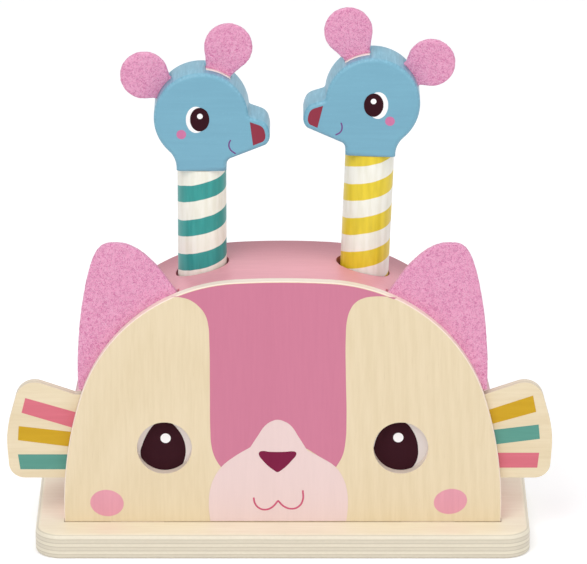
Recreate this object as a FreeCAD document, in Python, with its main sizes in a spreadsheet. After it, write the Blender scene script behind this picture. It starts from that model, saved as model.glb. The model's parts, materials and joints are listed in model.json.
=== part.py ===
"""Wooden pop up animal toy: a cat face housing on a base board, two mice on sprung
striped rods, and a sideways whisker slider that moves the cat's eyes.

Frame: X to the toy's left-right (as seen from the front), Y to the back, Z up.
The origin is the centre of the base board's underside. Millimetres.
"""
import FreeCAD, Part
import math
import os
import Sketcher

V = FreeCAD.Vector
doc = FreeCAD.newDocument("PopUpToy")

# Driving dimensions
SIZES = [
    ("base_width", 204.0, "base board, side to side"),
    ("base_depth", 80.0, "base board, front to back"),
    ("base_thick", 10.5, "base board plywood"),
    ("base_corner", 11.0, "rounded corner of the base board in plan"),
    ("base_round", 2.4, "rounded top edge of the base board"),
    ("front_ledge", 14.5, "base board in front of the front panel"),
    ("panel_half_width", 90.2, "half width of the cat face panel"),
    ("panel_height", 105.7, "cat face panel above the base board"),
    ("panel_thick", 4.0, "front panel plywood"),
    ("panel_round", 0.6, "rounded front edge of the front panel"),
    ("foot_round", 0.3, "broken front edge at the front panel's foot"),
    ("tab_width", 22.0, "tab of the front panel in the base board"),
    ("tab_deep", 6.0, "tab of the front panel in the base board"),
    ("tab_spacing", 120.0, "between the front panel's two tabs"),
    ("crown_radius", 330.0, "outline arc over the top of the face"),
    ("crown_angle", 3.4, "half angle of the crown arc, degrees"),
    ("shoulder_radius", 70.4, "outline arc at the shoulders of the face"),
    ("widest_rise", 7.0, "height above the base board where the face is widest"),
    ("eye_spacing", 97.2, "between the eye hole centres"),
    ("eye_rise", 32.8, "eye hole centre above the base board"),
    ("eye_bore", 22.6, "eye hole diameter"),
    ("roof_depth", 47.0, "bent roof, front to back"),
    ("roof_thick", 4.0, "bent roof plywood"),
    ("roof_round", 1.6, "rounded back edge of the roof"),
    ("back_thick", 6.0, "back panel plywood, let into the roof"),
    ("glue_gap", 0.1, "glue gap where a piece is let into another"),
    ("bore_spacing", 66.0, "between the two rod bores"),
    ("bore_dia", 22.0, "rod bore in the roof and in the guide shelf"),
    ("rod_set_back", 24.0, "rod line behind the front panel"),
    ("rod_dia", 20.0, "striped rod"),
    ("shelf_rise", 67.5, "underside of the guide shelf above the base board"),
    ("shelf_thick", 6.0, "guide shelf"),
    ("shelf_width", 116.0, "guide shelf, side to side"),
    ("shelf_dowel_dia", 5.0, "dowels that carry the guide shelf"),
    ("shelf_dowel_grip", 2.5, "depth of a shelf dowel in a panel"),
    ("shelf_dowel_reach", 9.0, "depth of a shelf dowel in the shelf"),
    ("shelf_dowel_spacing", 96.0, "between the shelf dowels of one panel"),
    ("rod_below_neck", 93.6, "rod and tenon below the head"),
    ("tenon_dia", 12.0, "turned tenon at the rod's lower end"),
    ("collar_dia", 27.0, "stop collar under the guide shelf"),
    ("collar_thick", 7.0, "stop collar"),
    ("fit_gap", 0.1, "radial gap of a glued dowel, tenon or screw"),
    ("left_neck_rise", 147.0, "left neck above the base board at rest"),
    ("right_neck_rise", 153.3, "right neck above the base board at rest"),
    ("right_lean", 2.3, "lean of the right rod in its loose bores, degrees"),
    ("screw_dia", 3.0, "wood screw shank"),
    ("screw_head_dia", 6.0, "wood screw head"),
    ("screw_head_thick", 2.2, "wood screw head"),
    ("collar_screw_length", 16.0, "screw that holds the collar on the rod"),
    ("base_screw_length", 21.0, "screw up through the base board"),
    ("base_screw_spacing", 110.0, "between the base screws of the back panel"),
    ("screw_sink", 1.0, "screw head below the underside of the base"),
    ("cap_dia", 22.0, "spring cap under the collar"),
    ("cap_thick", 3.0, "spring cap flange"),
    ("cap_boss_dia", 10.4, "boss of the spring cap, inside the spring"),
    ("cap_boss_length", 4.0, "boss of the spring cap"),
    ("cap_bore", 7.6, "spring cap bore round the collar screw's head"),
    ("cap_gap", 0.1, "running gap between collar and spring cap"),
    ("coil_radius", 7.2, "mean radius of the compression spring"),
    ("wire_dia", 1.4, "spring wire"),
    ("coil_turns", 7.0, "turns of the spring"),
    ("coil_gap", 0.15, "gap between the wire and what it bears on"),
    ("peg_dia", 10.4, "wooden peg that centres the spring"),
    ("peg_stand", 8.0, "spring peg above the base board"),
    ("peg_sink", 5.0, "spring peg in the base board"),
    ("head_thick", 20.0, "mouse head board"),
    ("head_radius", 19.3, "round of the mouse head"),
    ("head_rise", 22.1, "centre of the round above the neck"),
    ("neck_width", 20.4, "neck of the mouse head"),
    ("nape_radius", 10.0, "hollow between neck and the back of the head"),
    ("head_round", 1.8, "rounded edges of the mouse head"),
    ("snout_reach", 28.0, "snout tip in front of the rod line"),
    ("snout_low", 13.4, "lower corner of the snout above the neck"),
    ("snout_high", 20.2, "upper corner of the snout above the neck"),
    ("snout_slant", 1.0, "how far the snout's upper corner lies behind the lower one"),
    ("snout_low_round", 4.2, "rounded lower corner of the snout"),
    ("snout_high_round", 5.0, "rounded upper corner of the snout"),
    ("throat_rise", 4.6, "where the throat leaves the neck"),
    ("throat_radius", 4.0, "hollow between neck and throat"),
    ("bridge_slope", 0.36, "rise of the snout's bridge towards the head, for each mm back"),
    ("bridge_radius", 1.5, "crease between the snout's bridge and the round of the head"),
    ("head_dowel_dia", 8.0, "dowel between head and rod"),
    ("head_dowel_length", 24.0, "dowel between head and rod"),
    ("ear_radius", 9.8, "round felt ear of a mouse"),
    ("ear_shoulder", 56.0, "where the ear's round ends, from the middle of its stem, degrees"),
    ("ear_neck", 11.0, "stem of the felt ear in its slot"),
    ("ear_sink", 5.0, "depth of the ear slot in the head"),
    ("felt_thick", 3.0, "felt of all the ears"),
    ("felt_gap", 0.1, "gap between felt and its slot"),
    ("back_ear_out", 23.2, "back ear centre behind the rod line"),
    ("back_ear_rise", 37.8, "back ear centre above the neck"),
    ("front_ear_out", 11.0, "front ear centre in front of the rod line"),
    ("front_ear_rise", 49.8, "front ear centre above the neck"),
    ("slider_thick", 4.0, "whisker and eye slider plywood"),
    ("slider_gap", 0.3, "running gap round the slider"),
    ("slider_bottom", 18.0, "slider's lower edge above the base board"),
    ("slider_height", 36.7, "slider inside the housing"),
    ("whisker_root", 84.0, "where the whisker handles start to widen"),
    ("whisker_reach", 112.6, "half width over the whisker handles"),
    ("whisker_rise", 7.7, "how far the handles rise above the slider"),
    ("whisker_top_in", 6.6, "handle's upper corner inside its reach"),
    ("whisker_low_in", 1.4, "handle's lower corner inside its reach"),
    ("whisker_bend_rise", 20.2, "handle's widest place above its lower edge"),
    ("whisker_bend_round", 40.0, "rounding of the handle's outer edge"),
    ("whisker_top_round", 8.0, "rounded upper corner of a handle"),
    ("whisker_low_round", 6.5, "rounded lower corner of a handle"),
    ("slider_travel", 10.0, "slider travel from side to side"),
    ("slider_offset", 1.25, "slider to the left of its middle at rest"),
    ("stop_pin_dia", 5.0, "pin that stops the slider"),
    ("stop_pin_sink", 2.5, "depth of the stop pin in the front panel"),
    ("stop_pin_stand", 6.1, "stop pin behind the front panel"),
    ("rail_width", 4.0, "slider rail, up and down"),
    ("rail_lip", 3.0, "lip of the rail behind the slider"),
    ("rail_lip_thick", 2.5, "lip of the rail"),
    ("rail_length", 124.0, "slider rail, side to side"),
    ("cat_ear_reach", 83.5, "outer edge of the cat's ear from the middle, at its lower tip"),
    ("cat_ear_low", 56.7, "lower tip of the cat's ear above the base board"),
    ("cat_ear_swell_out", 0.9, "swell of the ear's outer edge beyond its lower tip"),
    ("cat_ear_swell_rise", 88.4, "swell of the ear's outer edge above the base board"),
    ("cat_ear_swell_share", 0.6, "part of the edges beside the swell that its curve takes"),
    ("cat_ear_top", 122.5, "top corner of the cat's ear above the base board"),
    ("cat_ear_tip_in", 8.9, "top corner of the ear inside its lower tip"),
    ("cat_ear_tip_round", 5.0, "rounded top corner of the cat's ear"),
    ("cat_ear_brow_in", 27.5, "inner upper corner of the ear inside its lower tip"),
    ("cat_ear_brow_drop", 3.8, "inner upper corner of the ear below its top corner"),
    ("cat_ear_brow_round", 14.0, "rounded inner upper corner of the cat's ear"),
    ("cat_ear_inner", 42.4, "inner end of the cat's ear from the middle"),
    ("cat_ear_tab", 9.0, "glued tab of the cat's ear behind the panel"),
    ("cat_ear_tab_rise", 12.0, "where the glued tab starts above the ear's lower tip"),
    ("rebate_gap", 0.3, "gap at the ends of the ear's rebate in the roof"),
]
sheet = doc.addObject("Spreadsheet::Sheet", "Sizes")
for row, (alias, value, meaning) in enumerate(SIZES, start=1):
    sheet.set("A%d" % row, meaning)
    sheet.set("B%d" % row, str(value))
    sheet.setAlias("B%d" % row, alias)
doc.recompute()


def size(alias):
    """A driving dimension, read from the sheet."""
    return float(sheet.get(alias))


# Levels and planes that several pieces share
BASE_TOP = "Sizes.base_thick"
FACE_BACK = "(Sizes.front_ledge + Sizes.panel_thick - Sizes.base_depth / 2)"
ROD_LINE = "(%s + Sizes.rod_set_back)" % FACE_BACK
ROOF_BACK = "(%s + Sizes.roof_depth)" % FACE_BACK
SHELF_DEPTH = "(Sizes.roof_depth - Sizes.back_thick)"
SHELF_LOW = "(Sizes.base_thick + Sizes.shelf_rise)"
face_back = size("front_ledge") + size("panel_thick") - size("base_depth") / 2
base_top = size("base_thick")
roof_top = base_top + size("panel_height")
shelf_low = base_top + size("shelf_rise")
lean_pivot_z = (shelf_low + roof_top) / 2
LEAN_PIVOT = "((%s + Sizes.base_thick + Sizes.panel_height) / 2)" % SHELF_LOW

SIDES = {
    "left": {"sign": -1, "neck": "left_neck_rise", "lean": "0 * Sizes.right_lean"},
    "right": {"sign": 1, "neck": "right_neck_rise", "lean": "Sizes.right_lean"},
}


# Bodies, sketches and features
def new_body(label):
    body = doc.addObject("PartDesign::Body", label)
    body.Label = label
    return body


def new_sketch(body, plane, name, offset=None):
    """A sketch on one of the body's own origin planes, moved along its normal."""
    sketch = body.newObject("Sketcher::SketchObject", name)
    support = [f for f in body.Origin.OriginFeatures if f.Role == plane][0]
    sketch.AttachmentSupport = (support, "")
    sketch.MapMode = "FlatFace"
    if offset:
        sketch.setExpression("AttachmentOffset.Base.z", offset)
    return sketch


def anticlockwise(edge):
    """The same line or arc, an arc turned to run the way a sketch keeps it."""
    if isinstance(edge, Part.LineSegment):
        return edge
    middle = edge.value((edge.FirstParameter + edge.LastParameter) / 2)
    turn = (middle - edge.StartPoint).cross(edge.EndPoint - middle).z
    return edge if turn > 0 else Part.Arc(edge.EndPoint, middle, edge.StartPoint)


def draw(sketch, edges):
    """Closed outline of lines and arcs, joined end to end."""
    edges = [anticlockwise(e) for e in edges]
    first = sketch.GeometryCount
    sketch.addGeometry(edges, False)
    count = len(edges)
    ends = [(e.StartPoint, e.EndPoint) for e in edges]
    for i in range(count):
        j = (i + 1) % count
        here = 2 if (ends[i][1] - ends[j][0]).Length < 1e-5 or (
            ends[i][1] - ends[j][1]).Length < 1e-5 else 1
        point = ends[i][here - 1]
        there = 1 if (ends[j][0] - point).Length < 1e-5 else 2
        sketch.addConstraint(Sketcher.Constraint(
            "Coincident", first + i, here, first + j, there))


def bind(sketch, name, constraint, expression):
    index = sketch.addConstraint(constraint)
    sketch.renameConstraint(index, name)
    sketch.setExpression("Constraints." + name, expression)


def draw_circle(sketch, name, x, y, dia):
    """Circle whose place and size are bound to expressions. x and y may be negative."""
    values = [sketch.evalExpression(e) for e in (x, y, dia)]
    values = [float(getattr(v, "Value", v)) for v in values]
    index = sketch.addGeometry(Part.Circle(V(values[0], values[1], 0), V(0, 0, 1), values[2] / 2), False)
    bind(sketch, name + "_x", Sketcher.Constraint("DistanceX", -1, 1, index, 3, values[0]), x)
    bind(sketch, name + "_y", Sketcher.Constraint("DistanceY", -1, 1, index, 3, values[1]), y)
    bind(sketch, name + "_dia", Sketcher.Constraint("Diameter", index, values[2]), dia)


def pad(body, sketch, name, length, reverse=False):
    feature = body.newObject("PartDesign::Pad", name)
    feature.Profile = sketch
    feature.Reversed = reverse
    feature.setExpression("Length", length)
    doc.recompute()
    return feature


def pocket(body, sketch, name, depth=None, reverse=False):
    """Pocket that has to take material away, through everything where no depth is given."""
    before = body.Shape.Volume
    feature = body.newObject("PartDesign::Pocket", name)
    feature.Profile = sketch
    feature.Reversed = reverse
    if depth:
        feature.setExpression("Length", depth)
    else:
        feature.Type = "ThroughAll"
    doc.recompute()
    if feature.Shape.Volume > before - 1e-3:
        raise RuntimeError("%s cuts nothing" % name)
    return feature


def revolve(body, sketch, name):
    feature = body.newObject("PartDesign::Revolution", name)
    feature.Profile = sketch
    feature.ReferenceAxis = (sketch, ["V_Axis"])
    feature.Angle = 360.0
    doc.recompute()
    return feature


def fillet(body, base, name, radius, choose):
    """Rounds the edges of base that choose(edge) accepts."""
    names = ["Edge%d" % (i + 1) for i, e in enumerate(base.Shape.Edges) if choose(e)]
    feature = body.newObject("PartDesign::Fillet", name)
    feature.Base = (base, names)
    feature.setExpression("Radius", radius)
    doc.recompute()
    return feature


def place(body, x="0 mm", y="0 mm", z="0 mm", lean=None):
    """Placement bound to the sheet."""
    for axis, value in (("x", x), ("y", y), ("z", z)):
        body.setExpression("Placement.Base." + axis, value)
    if lean:
        body.Placement.Rotation = FreeCAD.Rotation(V(0, 1, 0), 1.0)
        body.setExpression("Placement.Rotation.Angle", lean)
    doc.recompute()


def in_plane(edge, axis, level):
    """Whether an edge lies in the plane across axis at a level."""
    box = edge.BoundBox
    low, high = {"y": (box.YMin, box.YMax), "z": (box.ZMin, box.ZMax)}[axis]
    return abs(low - level) < 1e-4 and abs(high - level) < 1e-4


# Outlines
def polar(centre, radius, degrees):
    a = math.radians(degrees)
    return V(centre[0] + radius * math.cos(a), centre[1] + radius * math.sin(a), 0)


def arc(centre, radius, start, end):
    """Arc by its angles in degrees."""
    return Part.Arc(polar(centre, radius, start), polar(centre, radius, (start + end) / 2),
                    polar(centre, radius, end))


def line(a, b):
    return Part.LineSegment(V(a[0], a[1], 0), V(b[0], b[1], 0))


def rounded(points, closed=True):
    """Lines through (x, y, corner radius) points, with an arc in each rounded corner."""
    count = len(points)
    stations = []
    for i, (x, y, radius) in enumerate(points):
        here = V(x, y, 0)
        if radius == 0 or (not closed and i in (0, count - 1)):
            stations.append((here, None, here))
            continue
        back = (V(points[i - 1][0], points[i - 1][1], 0) - here).normalize()
        on = points[(i + 1) % count]
        ahead = (V(on[0], on[1], 0) - here).normalize()
        half = back.getAngle(ahead) / 2
        reach = radius / math.tan(half)
        middle = here + (back + ahead).normalize() * (radius / math.sin(half) - radius)
        stations.append((here + back * reach, middle, here + ahead * reach))
    edges = []
    for i, (start, middle, end) in enumerate(stations):
        if middle:
            edges.append(Part.Arc(start, middle, end))
        if closed or i < count - 1:
            following = stations[(i + 1) % count][0]
            if (following - end).Length > 1e-6:
                edges.append(Part.LineSegment(end, following))
    return edges


def corner_radius(before, here, after, share):
    """Radius of the arc in a corner that takes a share of the shorter edge beside it."""
    back, ahead = [V(p[0] - here[0], p[1] - here[1], 0) for p in (before, after)]
    return share * min(back.Length, ahead.Length) * math.tan(back.getAngle(ahead) / 2)


def face_arcs(inset=0.0):
    """Crown, shoulder and flank arcs of the cat face on the +X side, from the base board up.

    Each is (centre, radius, start angle, end angle). They meet tangentially, and an inset
    makes the parallel outline inside."""
    half, height = size("panel_half_width"), size("panel_height")
    crown, shoulder = size("crown_radius"), size("shoulder_radius")
    turn = math.radians(size("crown_angle"))
    crown_centre = V(0, base_top + height - crown, 0)
    shoulder_centre = crown_centre + V(math.sin(turn), math.cos(turn), 0) * (crown - shoulder)
    widest = base_top + size("widest_rise")
    over, up = half - shoulder_centre.x, widest - shoulder_centre.y
    flank = (over ** 2 + up ** 2 - shoulder ** 2) / (2 * (over - shoulder))
    flank_centre = V(half - flank, widest, 0)
    join = math.degrees(math.atan2(shoulder_centre.y - widest, shoulder_centre.x - flank_centre.x))
    foot = -math.degrees(math.asin((widest - base_top) / (flank - inset)))
    return [(flank_centre, flank - inset, foot, join),
            (shoulder_centre, shoulder - inset, join, 90 - size("crown_angle")),
            (crown_centre, crown - inset, 90 - size("crown_angle"), 90)]


def face_outline(inset=0.0):
    """The cat face outline with its flat foot on the base board."""
    right = face_arcs(inset)
    edges = [arc(*a) for a in right[:2]]
    centre, radius, start, _ = right[2]
    edges.append(arc(centre, radius, start, 180 - start))
    for centre, radius, start, end in reversed(right[:2]):
        edges.append(arc((-centre.x, centre.y), radius, 180 - end, 180 - start))
    foot = edges[0].StartPoint
    edges.append(line((-foot.x, foot.y), (foot.x, foot.y)))
    return edges


def outline_x(z, inset=0.0):
    """Half width of the face outline at a height."""
    for centre, radius, start, end in face_arcs(inset):
        if z <= polar(centre, radius, end).y:
            return centre.x + math.sqrt(radius ** 2 - (z - centre.y) ** 2)
    return 0.0


def outline_z(x, inset=0.0):
    """Height of the face outline's upper side at a place from the middle."""
    for centre, radius, start, end in reversed(face_arcs(inset)):
        if x <= polar(centre, radius, start).x:
            return centre.y + math.sqrt(radius ** 2 - (x - centre.x) ** 2)
    return base_top


# Base board
base = new_body("base_board")
plan = new_sketch(base, "XY_Plane", "base_plan")
half_w, half_d = size("base_width") / 2, size("base_depth") / 2
corner = size("base_corner")
draw(plan, rounded([(-half_w, -half_d, corner), (half_w, -half_d, corner),
                    (half_w, half_d, corner), (-half_w, half_d, corner)]))
board = pad(base, plan, "base_pad", BASE_TOP)
board = fillet(base, board, "base_top_edge", "Sizes.base_round", lambda e: in_plane(e, "z", base_top))
board = fillet(base, board, "base_low_edge", "Sizes.base_round / 2", lambda e: in_plane(e, "z", 0))
back_mid = "(%s - Sizes.back_thick / 2)" % ROOF_BACK
holes = new_sketch(base, "XY_Plane", "screw_holes")
heads = new_sketch(base, "XY_Plane", "screw_head_recesses")
for name, sign in (("left", "-"), ("right", "")):
    x = sign + "Sizes.base_screw_spacing / 2"
    draw_circle(holes, name + "_hole", x, back_mid, "Sizes.screw_dia + 2 * Sizes.fit_gap")
    draw_circle(heads, name + "_recess", x, back_mid, "Sizes.screw_head_dia + 4 * Sizes.fit_gap")
pocket(base, holes, "screw_hole_cut", reverse=True)
pocket(base, heads, "screw_head_cut", "Sizes.screw_sink + Sizes.screw_head_thick", reverse=True)


def seat_x(side):
    """Where a spring stands: under the rod's line, half way down its travel."""
    return "(%d * Sizes.bore_spacing / 2 - (%s - %s - Sizes.shelf_rise / 2) * tan(%s))" % (
        SIDES[side]["sign"], LEAN_PIVOT, BASE_TOP, SIDES[side]["lean"])


seats = new_sketch(base, "XY_Plane", "spring_peg_holes", BASE_TOP)
for side in SIDES:
    draw_circle(seats, side + "_seat", seat_x(side), ROD_LINE, "Sizes.peg_dia + 2 * Sizes.fit_gap")
pocket(base, seats, "spring_peg_hole_cut", "Sizes.peg_sink + Sizes.fit_gap")



def tab_edges(gap, low, high):
    """Rectangles of the front panel's two tabs, with a gap all round, between two levels."""
    edges = []
    half_tab = size("tab_width") / 2 + gap
    for middle in (-size("tab_spacing") / 2, size("tab_spacing") / 2):
        edges.append(rounded([(middle - half_tab, low, 0), (middle + half_tab, low, 0),
                              (middle + half_tab, high, 0), (middle - half_tab, high, 0)]))
    return edges


mortises = new_sketch(base, "XY_Plane", "front_tab_mortises", BASE_TOP)
for outline in tab_edges(size("fit_gap"), face_back - size("panel_thick") - size("fit_gap"),
                         face_back + size("fit_gap")):
    draw(mortises, outline)
pocket(base, mortises, "front_tab_mortise_cut", "Sizes.tab_deep + Sizes.fit_gap")

# Front panel with its eye holes and the tabs that hold it in the base board
front = new_body("front_panel")
face = new_sketch(front, "XZ_Plane", "face_outline")
draw(face, face_outline())
panel = pad(front, face, "face_pad", "Sizes.panel_thick")
panel = fillet(front, panel, "face_edge", "Sizes.panel_round",
               lambda e: in_plane(e, "y", -size("panel_thick")) and e.BoundBox.ZMax > base_top + 1e-3)
panel = fillet(front, panel, "foot_edge", "Sizes.foot_round",
               lambda e: in_plane(e, "y", -size("panel_thick")) and in_plane(e, "z", base_top))
tabs = new_sketch(front, "XZ_Plane", "panel_tabs")
for outline in tab_edges(0.0, base_top - size("tab_deep"), base_top):
    draw(tabs, outline)
pad(front, tabs, "tab_pad", "Sizes.panel_thick")
eyes = new_sketch(front, "XZ_Plane", "eye_holes")
EYE_Z = "(Sizes.base_thick + Sizes.eye_rise)"
for name, sign in (("left_eye", "-"), ("right_eye", "")):
    draw_circle(eyes, name, sign + "Sizes.eye_spacing / 2", EYE_Z, "Sizes.eye_bore")
pocket(front, eyes, "eye_hole_cut", reverse=True)
sockets = new_sketch(front, "XZ_Plane", "dowel_sockets")
SHELF_MID = "(%s + Sizes.shelf_thick / 2)" % SHELF_LOW
for name, sign in (("left_dowel", "-"), ("right_dowel", "")):
    draw_circle(sockets, name, sign + "Sizes.shelf_dowel_spacing / 2", SHELF_MID,
                "Sizes.shelf_dowel_dia + 2 * Sizes.fit_gap")
pocket(front, sockets, "dowel_socket_cut", "Sizes.shelf_dowel_grip + Sizes.fit_gap", reverse=True)
pin_socket = new_sketch(front, "XZ_Plane", "stop_pin_socket")
STOP_Z = "(Sizes.base_thick + Sizes.slider_bottom + Sizes.slider_height / 2)"
draw_circle(pin_socket, "stop_pin", "0 mm", STOP_Z, "Sizes.stop_pin_dia + 2 * Sizes.fit_gap")
pocket(front, pin_socket, "stop_pin_socket_cut", "Sizes.stop_pin_sink + Sizes.fit_gap", reverse=True)
place(front, y=FACE_BACK)

# Back panel, let into the roof's back end
back = new_body("back_panel")
back_face = new_sketch(back, "XZ_Plane", "back_outline")
draw(back_face, face_outline(size("roof_thick") + size("glue_gap")))
pad(back, back_face, "back_pad", "Sizes.back_thick")
sockets = new_sketch(back, "XZ_Plane", "dowel_sockets_back", "Sizes.back_thick")
for name, sign in (("left_dowel", "-"), ("right_dowel", "")):
    draw_circle(sockets, name, sign + "Sizes.shelf_dowel_spacing / 2", SHELF_MID,
                "Sizes.shelf_dowel_dia + 2 * Sizes.fit_gap")
pocket(back, sockets, "dowel_socket_back_cut", "Sizes.shelf_dowel_grip + Sizes.fit_gap")
back_screws = new_sketch(back, "XY_Plane", "back_screw_holes", BASE_TOP)
for name, sign in (("left_screw", "-"), ("right_screw", "")):
    draw_circle(back_screws, name, sign + "Sizes.base_screw_spacing / 2", "-Sizes.back_thick / 2",
                "Sizes.screw_dia + 2 * Sizes.fit_gap")
pocket(back, back_screws, "back_screw_cut", "Sizes.base_screw_length + Sizes.screw_sink "
       "+ Sizes.screw_head_thick - Sizes.base_thick + Sizes.fit_gap", reverse=True)
place(back, y=ROOF_BACK)

# Bent roof with its rod bores, slider slots and ear rebates
roof = new_body("roof_arch")
arch = new_sketch(roof, "XZ_Plane", "arch_outline")
outer = face_outline()[:-1]
inner = face_outline(size("roof_thick"))[:-1]
outer_foot, inner_foot = outer[0].StartPoint, inner[0].StartPoint
draw(arch, outer + [line((-outer_foot.x, outer_foot.y), (-inner_foot.x, inner_foot.y))]
     + list(reversed(inner)) + [line((inner_foot.x, inner_foot.y), (outer_foot.x, outer_foot.y))])
shell = pad(roof, arch, "arch_pad", "Sizes.roof_depth")
outer_tops = [o.toShape().BoundBox.YMax for o in outer]
shell = fillet(roof, shell, "arch_back_edge", "Sizes.roof_round", lambda e: in_plane(e, "y", 0) and any(
    abs(e.BoundBox.ZMax - top) < 1e-3 for top in outer_tops))
bores = new_sketch(roof, "XY_Plane", "rod_bores")
for side in SIDES:
    draw_circle(bores, side + "_bore", "%d * Sizes.bore_spacing / 2" % SIDES[side]["sign"],
                "Sizes.rod_set_back - Sizes.roof_depth", "Sizes.bore_dia")
pocket(roof, bores, "rod_bore_cut", reverse=True)
within = size("panel_half_width") - 5 * size("roof_thick")
beyond = size("panel_half_width") + 2 * size("roof_thick")
slider_low = base_top + size("slider_bottom")
slider_high = slider_low + size("slider_height")
whisker_slope = size("whisker_rise") / (
    size("whisker_reach") - size("whisker_top_in") - size("whisker_root"))
slot_high = slider_high + size("slider_gap") + whisker_slope * (
    outline_x(slider_high) + size("slider_travel") / 2 - size("whisker_root"))
slot_low = slider_low - size("slider_gap")
front_edge = "Sizes.roof_depth"
slots = new_sketch(roof, "XZ_Plane", "slider_slots", front_edge)
rebates = new_sketch(roof, "XZ_Plane", "ear_rebates", front_edge)
rebate_inner = size("cat_ear_inner") - size("rebate_gap")
rebate_low = base_top + size("cat_ear_low") - size("rebate_gap")
for sign in (-1, 1):
    near, far = sign * within, sign * beyond
    draw(slots, rounded([(near, slot_low, 0), (far, slot_low, 0), (far, slot_high, 0), (near, slot_high, 0)]))
    near = sign * rebate_inner
    top = roof_top + size("roof_thick")
    draw(rebates, rounded([(near, rebate_low, 0), (far, rebate_low, 0), (far, top, 0), (near, top, 0)]))
pocket(roof, slots, "slider_slot_cut", "Sizes.slider_thick + 2 * Sizes.slider_gap")
pocket(roof, rebates, "ear_rebate_cut", "Sizes.felt_thick + 2 * Sizes.felt_gap")
place(roof, y=ROOF_BACK)

# Guide shelf between the panels
shelf = new_body("guide_shelf")
shelf_plan = new_sketch(shelf, "XY_Plane", "shelf_plan")
half_s = size("shelf_width") / 2
depth_s = size("roof_depth") - size("back_thick")
draw(shelf_plan, rounded([(-half_s, 0, 0), (half_s, 0, 0), (half_s, depth_s, 0), (-half_s, depth_s, 0)]))
pad(shelf, shelf_plan, "shelf_pad", "Sizes.shelf_thick")
shelf_bores = new_sketch(shelf, "XY_Plane", "shelf_bores")
for side in SIDES:
    draw_circle(shelf_bores, side + "_bore", "%d * Sizes.bore_spacing / 2" % SIDES[side]["sign"],
                "Sizes.rod_set_back", "Sizes.bore_dia")
pocket(shelf, shelf_bores, "shelf_bore_cut", reverse=True)
for name, offset, from_back in (("front", None, False), ("back", "-" + SHELF_DEPTH, True)):
    sketch = new_sketch(shelf, "XZ_Plane", "shelf_dowel_holes_" + name, offset)
    for hand, sign in (("left", "-"), ("right", "")):
        draw_circle(sketch, hand + "_dowel", sign + "Sizes.shelf_dowel_spacing / 2", "Sizes.shelf_thick / 2",
                    "Sizes.shelf_dowel_dia + 2 * Sizes.fit_gap")
    pocket(shelf, sketch, "shelf_dowel_cut_" + name, "Sizes.shelf_dowel_reach + Sizes.fit_gap", reverse=from_back)
place(shelf, y=FACE_BACK, z=SHELF_LOW)


def solids(label, shapes):
    """One node that holds several separate solids alike."""
    feature = doc.addObject("Part::Feature", label)
    feature.Label = label
    feature.Shape = Part.makeCompound(shapes)
    feature.Placement = FreeCAD.Placement()
    return feature


# Dowels that carry the guide shelf, two in each panel
dowel_length = size("shelf_dowel_grip") + size("shelf_dowel_reach")
shelf_mid = shelf_low + size("shelf_thick") / 2
dowels = []
for sign in (-1, 1):
    for start in (face_back - size("shelf_dowel_grip"), face_back + depth_s - size("shelf_dowel_reach")):
        dowels.append(Part.makeCylinder(size("shelf_dowel_dia") / 2, dowel_length, V(
            sign * size("shelf_dowel_spacing") / 2, start, shelf_mid), V(0, 1, 0)))
solids("shelf_dowels", dowels)


def screw(length, start, direction=V(0, 0, 1)):
    """Pan head wood screw whose head's top is at start and whose shank points along direction."""
    head = Part.makeCylinder(size("screw_head_dia") / 2, size("screw_head_thick"), start, direction)
    reach = length - size("screw_dia")
    neck = start + direction * size("screw_head_thick")
    shank = Part.makeCylinder(size("screw_dia") / 2, reach, neck, direction)
    tip = Part.makeCone(size("screw_dia") / 2, size("screw_dia") / 10, size("screw_dia"),
                        neck + direction * reach, direction)
    return head.fuse([shank, tip]).removeSplitter()


# Screws up through the base board into the back panel
back_middle = face_back + size("roof_depth") - size("back_thick") / 2
solids("base_screws", [screw(size("base_screw_length"), V(
    sign * size("base_screw_spacing") / 2, back_middle, size("screw_sink"))) for sign in (-1, 1)])

# Whisker and eye slider behind the front panel
slider = new_body("whisker_slider")
blade = new_sketch(slider, "XZ_Plane", "slider_outline")
reach = size("whisker_reach")
right = [(reach - size("whisker_low_in"), slider_low, size("whisker_low_round")),
         (reach, slider_low + size("whisker_bend_rise"), size("whisker_bend_round")),
         (reach - size("whisker_top_in"), slider_high + size("whisker_rise"), size("whisker_top_round")),
         (size("whisker_root"), slider_high, 0)]
left = [(-x, z, r) for x, z, r in reversed(right)]
draw(blade, rounded(right + left))
pad(slider, blade, "slider_pad", "Sizes.slider_thick")
stop_slot = new_sketch(slider, "XZ_Plane", "stop_slot")
slot_r = size("stop_pin_dia") / 2 + size("slider_gap")
slot_half = size("slider_travel") / 2
stop_z = slider_low + size("slider_height") / 2
draw(stop_slot, [line((-slot_half, stop_z - slot_r), (slot_half, stop_z - slot_r)),
                 arc((slot_half, stop_z), slot_r, -90, 90),
                 line((slot_half, stop_z + slot_r), (-slot_half, stop_z + slot_r)),
                 arc((-slot_half, stop_z), slot_r, 90, 270)])
pocket(slider, stop_slot, "stop_slot_cut", reverse=True)
place(slider, x="-Sizes.slider_offset", y="%s + Sizes.slider_gap + Sizes.slider_thick" % FACE_BACK)

# Stop pin in the front panel
pin = doc.addObject("Part::Cylinder", "slider_stop_pin")
pin.Label = "slider_stop_pin"
pin.setExpression("Radius", "Sizes.stop_pin_dia / 2")
pin.setExpression("Height", "Sizes.stop_pin_sink + Sizes.stop_pin_stand")
pin.Placement.Rotation = FreeCAD.Rotation(V(1, 0, 0), -90)
pin.setExpression("Placement.Base.y", "%s - Sizes.stop_pin_sink" % FACE_BACK)
pin.setExpression("Placement.Base.z", STOP_Z)

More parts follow.
